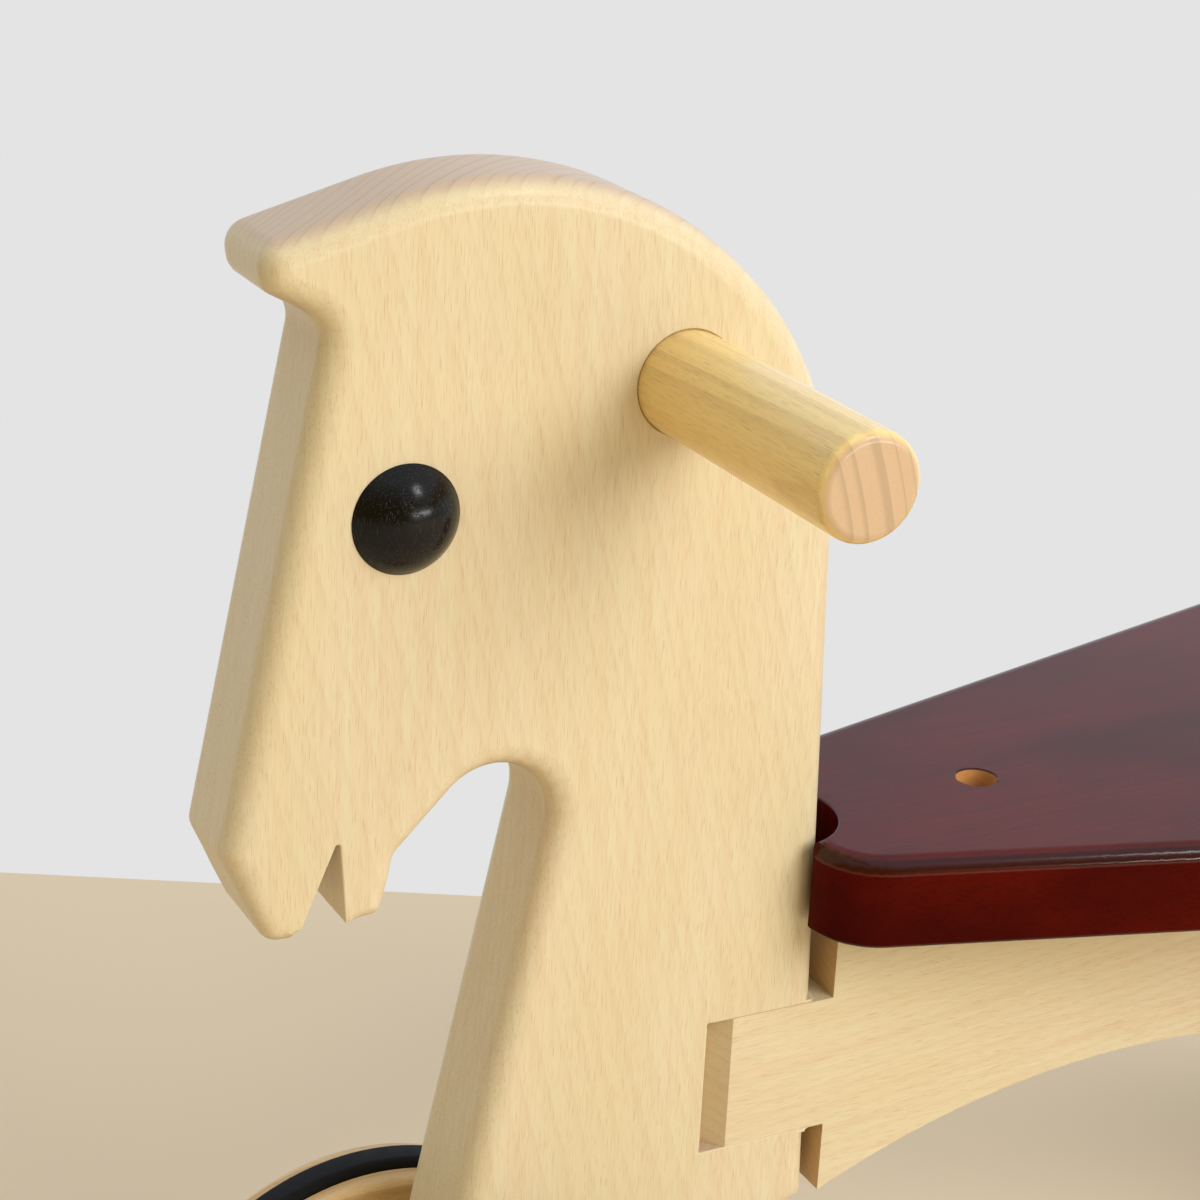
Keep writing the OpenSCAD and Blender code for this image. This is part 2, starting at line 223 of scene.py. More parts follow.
def routed_face(outline, radii, holes, spacing, steps=6):
    """A face whose edge is routed: points in the plane, how far each lies below the face, and triangles.

    Each outline point has its own radius. Where two routed edges run into each other they meet in a ridge.
    """
    normals = outward(outline)
    limit = room(outline, normals, radii.max() + 1.0)
    points, depths = [outline], [radii]

    def add(distance, depth, keep):
        points.append((outline - normals * distance[:, None])[keep])
        depths.append(depth[keep])
    for step in range(1, steps + 1):
        angle = math.pi / 2 * step / steps
        distance = radii * (1 - math.cos(angle))
        add(distance, radii * (1 - math.sin(angle)), limit > distance + 0.12)
    rise = np.sqrt(np.clip(1 - (1 - limit / radii) ** 2, 0, 1))
    add(limit, radii * (1 - rise), limit < radii)
    add(radii + 0.6, radii * 0, limit > radii + 0.7)
    edge_points = np.concatenate(points)
    low, high = outline.min(0), outline.max(0)
    grid = np.stack(np.meshgrid(np.arange(low[0], high[0], spacing), np.arange(low[1], high[1], spacing)), -1)
    grid = grid.reshape(-1, 2)
    grid = grid[inside(grid, outline)]
    clear = np.linalg.norm(grid - nearest_on(grid, outline), axis=1) > radii.max() + spacing * 0.4
    for hole in holes:
        centre = hole.mean(0)
        reach = np.linalg.norm(hole - centre, axis=1).max() + spacing * 0.4
        clear &= np.linalg.norm(grid - centre, axis=1) > reach
    flat = np.concatenate([*holes, grid[clear]]) if holes else grid[clear]
    every = np.concatenate([edge_points, flat])
    depth = np.concatenate([*depths, np.zeros(len(flat))])
    edges = [(i, (i + 1) % len(outline)) for i in range(len(outline))]
    first = len(edge_points)
    for hole in holes:
        edges += [(first + i, first + (i + 1) % len(hole)) for i in range(len(hole))]
        first += len(hole)
    found = geometry.delaunay_2d_cdt([Vector(p) for p in every], edges, [], 0, 1e-4)
    verts = np.array([tuple(v) for v in found[0]])
    source = [origin[0] if origin else -1 for origin in found[3]]
    verts_depth = np.array([depth[s] if s >= 0 else 0.0 for s in source])
    middle = np.array([verts[list(f)].mean(0) for f in found[2]])
    keep = inside(middle, outline)
    for hole in holes:
        keep &= ~inside(middle, hole)
    return verts, verts_depth, [f for f, k in zip(found[2], keep) if k]


RING = 72


def ring(centre, radius):
    """Points of a circle."""
    turn = np.linspace(0, 2 * np.pi, RING, endpoint=False)
    return np.stack([centre[0] + radius * np.cos(turn), centre[1] + radius * np.sin(turn)], 1)


def slab(name, outline, heights, radii, place, holes=(), spacing=9.0):
    """A board: flat faces at two heights, each with its edge routed to its own radius all the way round.

    radii holds the radius at each outline point for the low and the high face. Each hole is a centre and a
    profile of (radius, height) from the low face to the high one. place turns u, v, height into x, y, z.
    """
    low, high = heights
    count = len(outline)
    verts = [np.column_stack([outline, low + radii[0]]), np.column_stack([outline, high - radii[1]])]
    faces = strip(0, count, count)
    total = 2 * count
    for centre, profile in holes:
        for radius, height in profile:
            circle = ring(centre, radius)
            verts.append(np.column_stack([circle, np.full(len(circle), height)]))
        for i in range(len(profile) - 1):
            faces += strip(total + i * RING, total + (i + 1) * RING, RING)
        total += len(profile) * RING
    for height, sign, radius, end in ((low, 1, radii[0], 0), (high, -1, radii[1], -1)):
        loops = [ring(centre, profile[end][0]) for centre, profile in holes]
        flat, depth, triangles = routed_face(outline, radius, loops, spacing)
        verts.append(np.column_stack([flat, height + sign * depth]))
        faces += [tuple(total + i for i in triangle) for triangle in triangles]
        total += len(flat)
    u, v, h = np.concatenate(verts).T
    return smooth(new_piece(name, np.stack(place(u, v, h), 1), faces))


def upright(u, v, h):
    """Places an outline in X and Z, with the board's thickness along Y."""
    return u, h, v


def level(u, v, h):
    return u, v, h


def arc(centre, radius, start, end, count=8):
    """Points (radius, height) of an arc in a turned profile, its angles in degrees."""
    angles = np.radians(np.linspace(start, end, count))
    return [(centre[0] + radius * math.cos(a), centre[1] + radius * math.sin(a)) for a in angles]


def lathe(name, profile, place, segments=96, closed=False):
    """A turned piece from a profile of (radius, height)."""
    turn = np.linspace(0, 2 * np.pi, segments, endpoint=False)
    rows = [np.stack([r * np.cos(turn), r * np.sin(turn), np.full(segments, h)], 1) for r, h in profile]
    faces = []
    pairs = len(profile) if closed else len(profile) - 1
    for i in range(pairs):
        faces += strip(i * segments, (i + 1) % len(profile) * segments, segments)
    u, v, h = np.concatenate(rows).T
    return smooth(new_piece(name, np.stack(place(u, v, h), 1), faces))


def across(x, z, side=1, y=0.0):
    """Places a turned piece with its axis along Y, its height running outwards on one side."""
    def place(u, v, h):
        return x + u, y + side * h, z + v
    return place


def joined(name, pieces):
    """One piece from several that share a material."""
    bpy.ops.object.select_all(action="DESELECT")
    for piece in pieces:
        piece.select_set(True)
    bpy.context.view_layer.objects.active = pieces[0]
    bpy.ops.object.join()
    pieces[0].name = name
    return pieces[0]


def finish_piece(piece, body, slot, material, *nodes):
    """Gives a piece its material and its body, and hides the CAD nodes that it stands for. The slot is not
    used.
    """
    piece.data.materials.clear()
    piece.data.materials.append(material)
    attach(piece, body)
    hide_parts(*nodes)
    return piece


# ---------------------------------------------------------------- node graphs
class Graph:
    """Short names for building a material's nodes."""

    def __init__(self, name):
        self.material = bpy.data.materials.new(name)
        self.material.use_nodes = True
        self.tree = self.material.node_tree
        self.shader = self.tree.nodes["Principled BSDF"]

    def node(self, kind, **settings):
        made = self.tree.nodes.new(kind)
        for key, value in settings.items():
            setattr(made, key, value)
        return made

    def link(self, source, target):
        self.tree.links.new(source, target)

    def feed(self, target, value):
        if isinstance(value, bpy.types.NodeSocket):
            self.link(value, target)
        else:
            target.default_value = value

    def math(self, operation, a, b=0.0, c=None, clamp=False):
        made = self.node("ShaderNodeMath", operation=operation, use_clamp=clamp)
        self.feed(made.inputs[0], a)
        self.feed(made.inputs[1], b)
        if c is not None:
            self.feed(made.inputs[2], c)
        return made.outputs[0]

    def combine(self, x, y, z):
        made = self.node("ShaderNodeCombineXYZ")
        for socket, value in zip(made.inputs, (x, y, z)):
            self.feed(socket, value)
        return made.outputs[0]

    def split(self, vector):
        made = self.node("ShaderNodeSeparateXYZ")
        self.link(vector, made.inputs[0])
        return made.outputs

    def scaled(self, vector, factors):
        made = self.node("ShaderNodeVectorMath", operation="MULTIPLY")
        self.link(vector, made.inputs[0])
        made.inputs[1].default_value = factors
        return made.outputs[0]

    def noise(self, vector, detail=2.0, roughness=0.5, distortion=0.0):
        made = self.node("ShaderNodeTexNoise")
        self.link(vector, made.inputs["Vector"])
        made.inputs["Scale"].default_value = 1.0
        made.inputs["Detail"].default_value = detail
        made.inputs["Roughness"].default_value = roughness
        made.inputs["Distortion"].default_value = distortion
        return made.outputs["Fac"]

    def cells(self, vector, randomness=1.0):
        made = self.node("ShaderNodeTexVoronoi", feature="F1")
        self.link(vector, made.inputs["Vector"])
        made.inputs["Scale"].default_value = 1.0
        made.inputs["Randomness"].default_value = randomness
        return made.outputs["Distance"], made.outputs["Color"]

    def remap(self, value, from_low, from_high, to_low=0.0, to_high=1.0, soft=True):
        made = self.node("ShaderNodeMapRange", interpolation_type="SMOOTHSTEP" if soft else "LINEAR")
        made.clamp = True
        for socket, given in zip(made.inputs, (value, from_low, from_high, to_low, to_high)):
            self.feed(socket, given)
        return made.outputs[0]

    def mix(self, factor, a, b, blend="MIX"):
        made = self.node("ShaderNodeMix", data_type="RGBA", blend_type=blend)
        self.feed(made.inputs[0], factor)
        self.feed(made.inputs[6], a)
        self.feed(made.inputs[7], b)
        return made.outputs[2]

    def bump(self, height, distance, strength=1.0, normal=None):
        made = self.node("ShaderNodeBump")
        made.inputs["Strength"].default_value = strength
        made.inputs["Distance"].default_value = distance * MM
        self.link(height, made.inputs["Height"])
        if normal is not None:
            self.link(normal, made.inputs["Normal"])
        return made.outputs[0]

    def millimetres(self, grain):
        """Object coordinates in millimetres, turned so that the grain runs along the third axis."""
        coordinates = self.node("ShaderNodeTexCoord").outputs["Object"]
        x, y, z = self.split(self.scaled(coordinates, (1000.0, 1000.0, 1000.0)))
        return {"x": (z, y, x), "y": (x, z, y), "z": (x, y, z)}[grain]

    def facing(self, grain):
        """How far a surface faces along the grain: 1 on end grain and 0 on long grain."""
        normal = self.node("ShaderNodeTexCoord").outputs["Normal"]
        made = self.split(normal)[{"x": 0, "y": 1, "z": 2}[grain]]
        return self.math("ABSOLUTE", made)


def rgb(red, green, blue):
    """A colour given as it looks on a screen, 0 to 255, in the shader's linear values."""
    linear = [(c / 255 / 12.92 if c / 255 <= 0.04045 else ((c / 255 + 0.055) / 1.055) ** 2.4)
              for c in (red, green, blue)]
    return (*linear, 1.0)


# Scale of the cells that hold the flecks, the flecks' half width in a cell, and a shift, for each layer
FLECKS = (((3.0, 3.0, 0.11), 0.27, 0.0), ((3.8, 3.8, 0.15), 0.28, 37.0), ((3.3, 3.3, 0.09), 0.26, 71.0))


def wood(name, grain, light, dark, end, pith=(-270.0, 240.0), ring_gap=3.0, lean=0.30, ring=0.075, dash=0.5,
         ring_end=0.45, gloss=0.42, coat=0.15):
    """Solid wood: growth rings around a pith, fibre streaks, short dark flecks and darker end grain.

    The colours are of the plain wood, of its flecks and late wood, and of its end grain. The pith is in the
    plane across the grain, and the trunk leans to the board by lean.
    """
    g = Graph(name)
    x, y, z = g.millimetres(grain)
    at = g.combine(x, y, z)
    wander = g.math("SUBTRACT", g.noise(g.scaled(at, (0.010, 0.010, 0.003)), 1.0), 0.5)
    from_x = g.math("ADD", g.math("SUBTRACT", x, pith[0]), g.math("MULTIPLY", z, lean))
    from_y = g.math("ADD", g.math("SUBTRACT", y, pith[1]), g.math("MULTIPLY", wander, 11.0))
    squares = g.math("MULTIPLY", from_x, from_x), g.math("MULTIPLY", from_y, from_y)
    reach = g.math("SQRT", g.math("ADD", *squares))
    uneven = g.noise(g.scaled(g.combine(reach, 0.0, 0.0), (0.11, 1.0, 1.0)), 2.0)
    turns = g.math("ADD", g.math("DIVIDE", reach, ring_gap), g.math("MULTIPLY", uneven, 3.0))
    phase = g.math("FRACT", turns)
    late = g.math("MULTIPLY", g.remap(phase, 0.15, 0.92), g.remap(phase, 1.0, 0.93))
    thin = g.math("POWER", late, 9.0)
    late = g.math("MULTIPLY", g.math("POWER", late, 2.4), g.remap(uneven, 0.15, 0.6, 0.35, 1.0))

    ended = g.remap(g.facing(grain), 0.55, 1.0)
    long_grain = g.math("SUBTRACT", 1.0, ended)

    fibre = g.noise(g.scaled(at, (2.4, 2.4, 0.05)), 3.0, 0.62)
    strands = g.noise(g.scaled(at, (0.42, 0.42, 0.012)), 3.0, 0.6)
    broad = g.noise(g.scaled(at, (0.035, 0.035, 0.010)), 2.0, 0.5)
    flecks = None
    for scale, width, offset in FLECKS:
        moved = g.node("ShaderNodeVectorMath", operation="ADD")
        g.link(g.scaled(at, scale), moved.inputs[0])
        moved.inputs[1].default_value = (offset, offset, offset)
        distance, cell = g.cells(moved.outputs[0])
        strength = g.remap(g.split(cell)[0], 0.0, 1.0, 0.15, 1.0, soft=False)
        mark = g.math("MULTIPLY", g.remap(distance, width, width * 0.4), strength)
        flecks = mark if flecks is None else g.math("MAXIMUM", flecks, mark)

    pinker = tuple(a * b for a, b in zip(light[:3], (0.99, 0.925, 0.90))) + (1.0,)
    yellower = tuple(a * b for a, b in zip(light[:3], (0.955, 0.93, 0.84))) + (1.0,)
    plain = g.mix(g.remap(strands, 0.35, 0.68), light, pinker)
    plain = g.mix(g.math("MULTIPLY", g.remap(broad, 0.35, 0.7), 0.7), plain, yellower)
    plain = g.mix(g.math("MULTIPLY", g.remap(fibre, 0.42, 0.8), 0.15), plain, dark)
    plain = g.mix(g.math("MULTIPLY", late, ring), plain, dark)
    late_end = tuple(0.60 * c for c in end[:3]) + (1.0,)
    speckle = g.math("MULTIPLY", g.remap(g.noise(g.scaled(at, (3.0, 3.0, 0.3)), 3.0, 0.6), 0.45, 0.75), 0.22)
    ends = g.mix(speckle, g.mix(g.math("MULTIPLY", thin, ring_end), end, late_end), late_end)
    plain = g.mix(g.math("MULTIPLY", ended, 0.95), plain, ends)
    fleck_strength = g.math("MULTIPLY", flecks, g.math("MULTIPLY_ADD", long_grain, dash * 0.8, dash * 0.2))
    g.link(g.mix(fleck_strength, plain, dark), g.shader.inputs["Base Color"])

    rough = g.math("ADD", gloss, g.math("MULTIPLY", g.math("SUBTRACT", fibre, 0.5), 0.14))
    g.link(g.math("ADD", rough, g.math("MULTIPLY", flecks, 0.1), clamp=True), g.shader.inputs["Roughness"])
    height = g.math("SUBTRACT", g.math("MULTIPLY", fibre, 0.4), flecks)
    g.link(g.bump(height, 0.03, 0.4), g.shader.inputs["Normal"])
    g.shader.inputs["IOR"].default_value = 1.38
    g.shader.inputs["Coat Weight"].default_value = coat
    g.shader.inputs["Coat Roughness"].default_value = 0.22
    return g.material


def stained(name, deep, warm):
    """Red-brown stain under gloss lacquer: darker pores and a slight clouding, with painted shade darkening
    the rounded edge.
    """
    g = Graph(name)
    x, y, z = g.millimetres("x")
    at = g.combine(x, y, z)
    cloud = g.noise(g.scaled(at, (0.03, 0.03, 0.012)), 3.0, 0.55)
    fibre = g.noise(g.scaled(at, (1.6, 1.6, 0.03)), 3.0, 0.6)
    distance, cell = g.cells(g.scaled(at, (1.5, 1.5, 0.22)))
    pores = g.math("MULTIPLY", g.remap(distance, 0.25, 0.10), g.remap(g.split(cell)[1], 0.2, 1.0))
    deeper = tuple(0.45 * c for c in deep[:3]) + (1.0,)
    colour = g.mix(g.remap(cloud, 0.3, 0.7), deep, warm)
    colour = g.mix(g.math("MULTIPLY", g.remap(fibre, 0.4, 0.8), 0.5), colour, deeper)
    colour = g.mix(g.math("MULTIPLY", pores, 0.8), colour, deeper)
    rise = g.facing("z")
    # Painted shade: the rounded edge, between the top and the sides, is darkened towards the deeper colour.
    painted_edge_shade = g.math("MULTIPLY", g.remap(rise, 0.10, 0.40), g.remap(rise, 0.98, 0.80))
    colour = g.mix(g.math("MULTIPLY", painted_edge_shade, 0.85), colour, deeper)
    g.link(colour, g.shader.inputs["Base Color"])
    rough = g.math("ADD", 0.15, g.math("MULTIPLY", g.math("SUBTRACT", cloud, 0.5), 0.06))
    g.link(g.math("ADD", rough, g.math("MULTIPLY", pores, 0.06), clamp=True), g.shader.inputs["Roughness"])
    height = g.math("SUBTRACT", g.math("MULTIPLY", fibre, 0.3), pores)
    g.link(g.bump(height, 0.012, 0.25), g.shader.inputs["Normal"])
    shine = g.math("ADD", g.remap(rise, 0.04, 0.12, 0.03, 0.35), g.remap(rise, 0.90, 0.99, 0.0, -0.19))
    g.link(shine, g.shader.inputs["Specular IOR Level"])
    return g.material


def blackened(name):
    """Black stain on open-grained wood, satin, with fine paler pores along the grain and across it."""
    g = Graph(name)
    x, y, z = g.millimetres("z")
    at = g.combine(x, y, z)
    fibre = g.noise(g.scaled(at, (3.2, 3.2, 0.35)), 4.0, 0.65)
    across_it = g.noise(g.scaled(at, (0.35, 3.2, 3.2)), 4.0, 0.65)
    fainter = g.math("MULTIPLY", g.remap(across_it, 0.60, 0.74), 0.7)
    pores = g.math("MAXIMUM", g.remap(fibre, 0.56, 0.72), fainter)
    colour = g.mix(pores, (0.0018, 0.0018, 0.0020, 1), (0.030, 0.032, 0.036, 1))
    g.link(colour, g.shader.inputs["Base Color"])
    g.link(g.math("ADD", 0.20, g.math("MULTIPLY", pores, 0.3)), g.shader.inputs["Roughness"])
    g.link(g.bump(g.math("MULTIPLY", pores, -1.0), 0.12, 0.5), g.shader.inputs["Normal"])
    g.shader.inputs["Specular IOR Level"].default_value = 0.26
    return g.material


def rubber(name):
    g = Graph(name)
    x, y, z = g.millimetres("z")
    at = g.combine(x, y, z)
    grime = g.noise(g.scaled(at, (0.15, 0.15, 0.15)), 3.0, 0.6)
    pebble = g.noise(g.scaled(at, (2.5, 2.5, 2.5)), 2.0, 0.5)
    worn = g.math("MULTIPLY", g.remap(grime, 0.45, 0.75), 0.5)
    colour = g.mix(worn, (0.0035, 0.0035, 0.004, 1), (0.010, 0.0095, 0.009, 1))
    g.link(colour, g.shader.inputs["Base Color"])
    g.link(g.math("ADD", 0.5, g.math("MULTIPLY", grime, 0.3)), g.shader.inputs["Roughness"])
    g.link(g.bump(pebble, 0.08, 0.3), g.shader.inputs["Normal"])
    g.shader.inputs["Specular IOR Level"].default_value = 0.2
    return g.material


def zinc(name):
    """Bright zinc-plated steel with faint turning marks and a few dull spots."""
    g = Graph(name)
    x, y, z = g.millimetres("z")
    at = g.combine(x, y, z)
    marks = g.noise(g.scaled(at, (0.6, 6.0, 0.6)), 3.0, 0.6)
    dull = g.noise(g.scaled(at, (0.35, 0.35, 0.35)), 3.0, 0.5)
    colour = g.mix(g.remap(dull, 0.4, 0.7), (0.62, 0.62, 0.60, 1), (0.45, 0.45, 0.45, 1))
    g.link(colour, g.shader.inputs["Base Color"])
    g.link(g.math("ADD", 0.22, g.math("MULTIPLY", dull, 0.25)), g.shader.inputs["Roughness"])
    g.link(g.bump(marks, 0.02, 0.4), g.shader.inputs["Normal"])
    g.shader.inputs["Metallic"].default_value = 1.0
    return g.material


def nylon(name):
    g = Graph(name)
    x, y, z = g.millimetres("z")
    at = g.combine(x, y, z)
    mottle = g.noise(g.scaled(at, (0.4, 0.4, 0.4)), 2.0, 0.5)
    colour = g.mix(mottle, (0.74, 0.72, 0.66, 1), (0.66, 0.64, 0.58, 1))
    g.link(colour, g.shader.inputs["Base Color"])
    g.link(g.math("ADD", 0.38, g.math("MULTIPLY", mottle, 0.15)), g.shader.inputs["Roughness"])
    g.link(g.bump(mottle, 0.03, 0.3), g.shader.inputs["Normal"])
    return g.material


BEECH_LIGHT = rgb(223, 210, 176)
BEECH_DARK = rgb(178, 128, 74)
BEECH_END = rgb(200, 173, 146)
beech = wood("beech_upright", "z", BEECH_LIGHT, BEECH_DARK, BEECH_END)
beech_beam = wood("beech_beam", "x", BEECH_LIGHT, BEECH_DARK, rgb(204, 168, 118),
                  pith=(60.0, 60.0), lean=-0.12, ring=0.08, ring_end=0.3)
beech_handle = wood("beech_handle", "y", rgb(246, 217, 144), rgb(158, 112, 54), rgb(203, 171, 136),
                    pith=(-300.0, 300.0), ring_gap=4.6, lean=0.04, ring=0.22, ring_end=0.5, coat=0.6)
beech_wheel = wood("beech_wheel", "x", rgb(222, 190, 136), rgb(160, 108, 56), rgb(205, 165, 112),
                   pith=(110.0, 10.0), ring_gap=3.4, lean=0.0, ring=0.35)
bare_wood = wood("bare_wood", "x", rgb(205, 150, 90), rgb(150, 96, 50), rgb(190, 140, 90),
                 coat=0.0, gloss=0.6)
seat_stain = stained("seat_stain", (0.050, 0.0020, 0.0008, 1), (0.095, 0.0042, 0.0012, 1))
eye_black = blackened("eye_black")
tyre_rubber = rubber("tyre_rubber")
steel = zinc("zinc_steel")
plastic = nylon("white_nylon")


# ---------------------------------------------------------------- boards
# Radius of the routed edges, and of the edges cut after the routing
EDGE_R = 6.0
CRISP_R = 0.4


def near_segment(points, a, b):
    """Distance of each point from the segment between two points."""
    a, b = np.array(a, float), np.array(b, float)
    t = np.clip(((points - a) @ (b - a)) / ((b - a) @ (b - a)), 0, 1)
    return np.linalg.norm(points - a - t[:, None] * (b - a), axis=1)


def slot_radii(points, radii, end):
    """Keeps the edges of a tongue's slot crisp, where it was cut after the routing."""
    inner = points[:, 0] * end
    top = points[:, 1]
    corners = face_loops("spine_beam", 1, -HALF_T)[0]
    tongue = corners[np.abs(corners[:, 0]) > BEAM_HIGH[0] - 12]
    low, high = tongue[:, 1].min(), tongue[:, 1].max()
    in_slot = (top > low - 0.3) & (top < high + 0.3) & (inner < BEAM_HIGH[0] + 3) & (inner > 0)
    radii = radii.copy()
    radii[in_slot] = CRISP_R
    return radii


def head_board():
    outline = refine(face_loops("head_board", 1, -HALF_T)[0])
    local = outline - (HANDLE_X, HANDLE_Z)
    radii = np.full(len(outline), EDGE_R)
    radii[(local[:, 1] < -112) & (local[:, 0] < -60)] = 4.2
    lip = np.minimum(near_segment(local, (-83.6, -100.2), (-92.8, -122.5)),
                     near_segment(local, (-83.6, -100.2), (-82.0, -122.5)))
    radii[lip < 1.0] = 0.5
    radii = eased(radii, outline, 6.0)
    radii[lip < 0.6] = 0.5
    radii = eased(slot_radii(outline, radii, FRONT), outline, 0.8)
    gap = 0.35
    bore = HANDLE_R + 0.1
    hole = ((HANDLE_X, HANDLE_Z), [(bore + gap, -HALF_T), (bore, -HALF_T + gap), (bore, HALF_T - gap),
                                   (bore + gap, HALF_T)])
    piece = slab("head_board_wood", outline, (-HALF_T, HALF_T), (radii, radii), upright, [hole])
    return finish_piece(piece, "horse", "beech", beech, "head_board")


def hind_board():
    outline = refine(face_loops("hind_board", 1, -HALF_T)[0])
    radii = np.full(len(outline), EDGE_R)
    radii[outline[:, 1] > SEAT_LOW[2] - 0.5] = 0.6
    radii = eased(radii, outline, 5.0)
    radii = eased(slot_radii(outline, radii, REAR), outline, 0.8)
    piece = slab("hind_board_wood", outline, (-HALF_T, HALF_T), (radii, radii), upright)
    return finish_piece(piece, "horse", "beech", beech, "hind_board")


def eased_copy(name, node, width):
    """A CAD node's own shape with its sharp edges eased by a small width."""
    bm = bmesh.new()
    bm.from_mesh(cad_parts[node].data)
    bmesh.ops.remove_doubles(bm, verts=bm.verts, dist=0.01 * MM)
    bmesh.ops.dissolve_limit(bm, angle_limit=math.radians(0.8), verts=bm.verts, edges=bm.edges)
    sharp = [e for e in bm.edges if len(e.link_faces) == 2 and e.calc_face_angle() > math.radians(28)]
    bmesh.ops.bevel(bm, geom=sharp, offset=width * MM, segments=3, profile=0.5, affect="EDGES",
                    clamp_overlap=True)
    bmesh.ops.triangulate(bm, faces=[f for f in bm.faces if len(f.verts) > 4])
    mesh = bpy.data.meshes.new(name)
    bm.to_mesh(mesh)
    bm.free()
    piece = bpy.data.objects.new(name, mesh)
    bpy.context.scene.collection.objects.link(piece)
    return smooth(piece)


def spine_beam():
    piece = eased_copy("spine_beam_wood", "spine_beam", 0.5)
    return finish_piece(piece, "horse", "beech", beech_beam, "spine_beam")


# The seat: half width across the notch, its routed edges, and its screw holes
NOTCH_HALF = 19.3
SEAT_EDGE_R, NOTCH_EDGE_R, SEAT_UNDER_R = 4.4, 0.5, 1.0
COUNTERBORE_DEPTH = 12.0
SHANK_HOLE_R = 2.4
HOLE_EASE = 0.4
SCREW_R = 2.05


def seat():
    outline = refine(face_loops("seat", 2, SEAT_LOW[2])[0])
    count = len(outline)
    top, bottom = SEAT_HIGH[2], SEAT_LOW[2]
    head = -box_mm("seat_screws")[0][1]
    rows = face_loops("seat", 2, top)[1:]
    shoulder = top - COUNTERBORE_DEPTH
    holes = []
    for loop in rows:
        centre = (loop.min(0) + loop.max(0)) / 2
        radius = (loop.max(0) - loop.min(0))[0] / 2
        holes.append((tuple(centre), [(SHANK_HOLE_R, bottom), (SHANK_HOLE_R, shoulder), (head, shoulder),
                                      (radius, shoulder), (radius, top - HOLE_EASE),
                                      (radius + HOLE_EASE, top)]))
    notch = np.abs(outline[:, 1]) < NOTCH_HALF
    notch &= outline[:, 0] < (SEAT_LOW[0] + SEAT_HIGH[0]) / 2
    upper = eased(np.where(notch, NOTCH_EDGE_R, SEAT_EDGE_R), outline, 0.8)
    piece = slab("seat_wood", outline, (bottom, top), (np.full(count, SEAT_UNDER_R), upper), level, holes)
    finish_piece(piece, "horse", "stained_beech", seat_stain, "seat")
    piece.data.materials.append(bare_wood)
    centres = [np.array(h[0]) for h in holes]
    for polygon in piece.data.polygons:
        middle = np.array(polygon.center) / MM
        bored = any(np.linalg.norm(middle[:2] - c) < 5.6 for c in centres)
        if bored and bottom + 0.01 < middle[2] < top - 0.41:
            polygon.material_index = 1
    return piece


# ---------------------------------------------------------------- turned pieces
def handle():
    half = HANDLE_HIGH[1]
    end_r = 2.7
    profile = [(0.0, -half), (HANDLE_R - end_r, -half)]
    profile += arc((HANDLE_R - end_r, -half + end_r), end_r, -90, 0)[1:]
    profile += [(HANDLE_R, -half / 2), (HANDLE_R, 0.0), (HANDLE_R, half / 2)]
    profile += arc((HANDLE_R - end_r, half - end_r), end_r, 0, 90)
    profile += [(0.0, half)]
    piece = lathe("handle_wood", profile, across(HANDLE_X, HANDLE_Z))
    return finish_piece(piece, "horse", "handle_beech", beech_handle, "handle")


def eye(side, node):
    low, high = box_mm(node)
    radius = (high[0] - low[0]) / 2
    tall = max(abs(low[1]), abs(high[1])) - HALF_T
    dome = (radius**2 + tall**2) / (2 * tall)
    rim = math.degrees(math.asin(radius / dome))
    lip = 0.5
    profile = [(0.0, -1.0), (radius - 0.6, -1.0), (radius - 0.2, -0.2), (radius, 0.1)]
    profile += [(r, h) for r, h in arc((0.0, tall - dome), dome, 90 - rim, 90, 20) if r < radius - lip]
    place = across((low[0] + high[0]) / 2, (low[2] + high[2]) / 2, side, side * HALF_T)
    piece = lathe(node + "_dome", profile, place)
    return finish_piece(piece, "horse", "black_beech", eye_black, node)


def wheel(end_name, side_name):
    name = f"{end_name}_{side_name}"
    body = name + "_roll"
    low, high = box_mm(name + "_wheel")
    tyre_low, tyre_high = box_mm(name + "_tyre")
    x, z, y = (low[0] + high[0]) / 2, (tyre_low[2] + tyre_high[2]) / 2, (low[1] + high[1]) / 2
    face = (high[1] - low[1]) / 2
    outer = (high[2] - low[2]) / 2
    tread = (tyre_high[2] - tyre_low[2]) / 2
    half_tyre = (tyre_high[1] - tyre_low[1]) / 2
    edge, deep, bore, sunk = 3.0, 1.5, 8.0, 4.0
    inner_lip, outer_lip = 22.0, outer - 10.0
    half = [(bore, -face + 0.5), (bore + 0.5, -face), (inner_lip - 1.0, -face)]
    half += arc((inner_lip - 1.0, -face + 1.0), 1.0, -90, -20, 4)[1:]
    half += arc((inner_lip + 1.9, -face + 0.1), 1.4, 160, 90, 5)
    half += [(outer_lip - 2.5, -face + deep)]
    half += arc((outer_lip - 2.0, -face + 0.1), 1.4, 90, 20, 5)
    half += arc((outer_lip + 1.0, -face + 1.0), 1.0, -160, -90, 4)
    half += arc((outer - edge, -face + edge), edge, -90, 0, 10)
    half += [(outer, -half_tyre - 0.3), (outer - 0.3, -half_tyre), (outer - sunk, -half_tyre)]
    profile = half + [(r, -h) for r, h in half[::-1]]
    place = across(x, z, 1, y)
    wood_piece = lathe(name + "_wheel_wood", profile, place, 128, closed=True)
    finish_piece(wood_piece, body, "wheel_beech", beech_wheel, name + "_wheel")
    crown = 2.4
    profile = [(outer - sunk, -half_tyre), (tread - crown, -half_tyre)]
    profile += arc((tread - crown, -half_tyre + crown), crown, -90, -10, 7)[1:]
    profile += [(tread, 0.0)]
    profile += [(r, -h) for r, h in profile[-2::-1]]
    rubber_piece = lathe(name + "_tyre_rubber", profile, place, 128, closed=True)
    finish_piece(rubber_piece, body, "tyre_rubber", tyre_rubber, name + "_tyre")


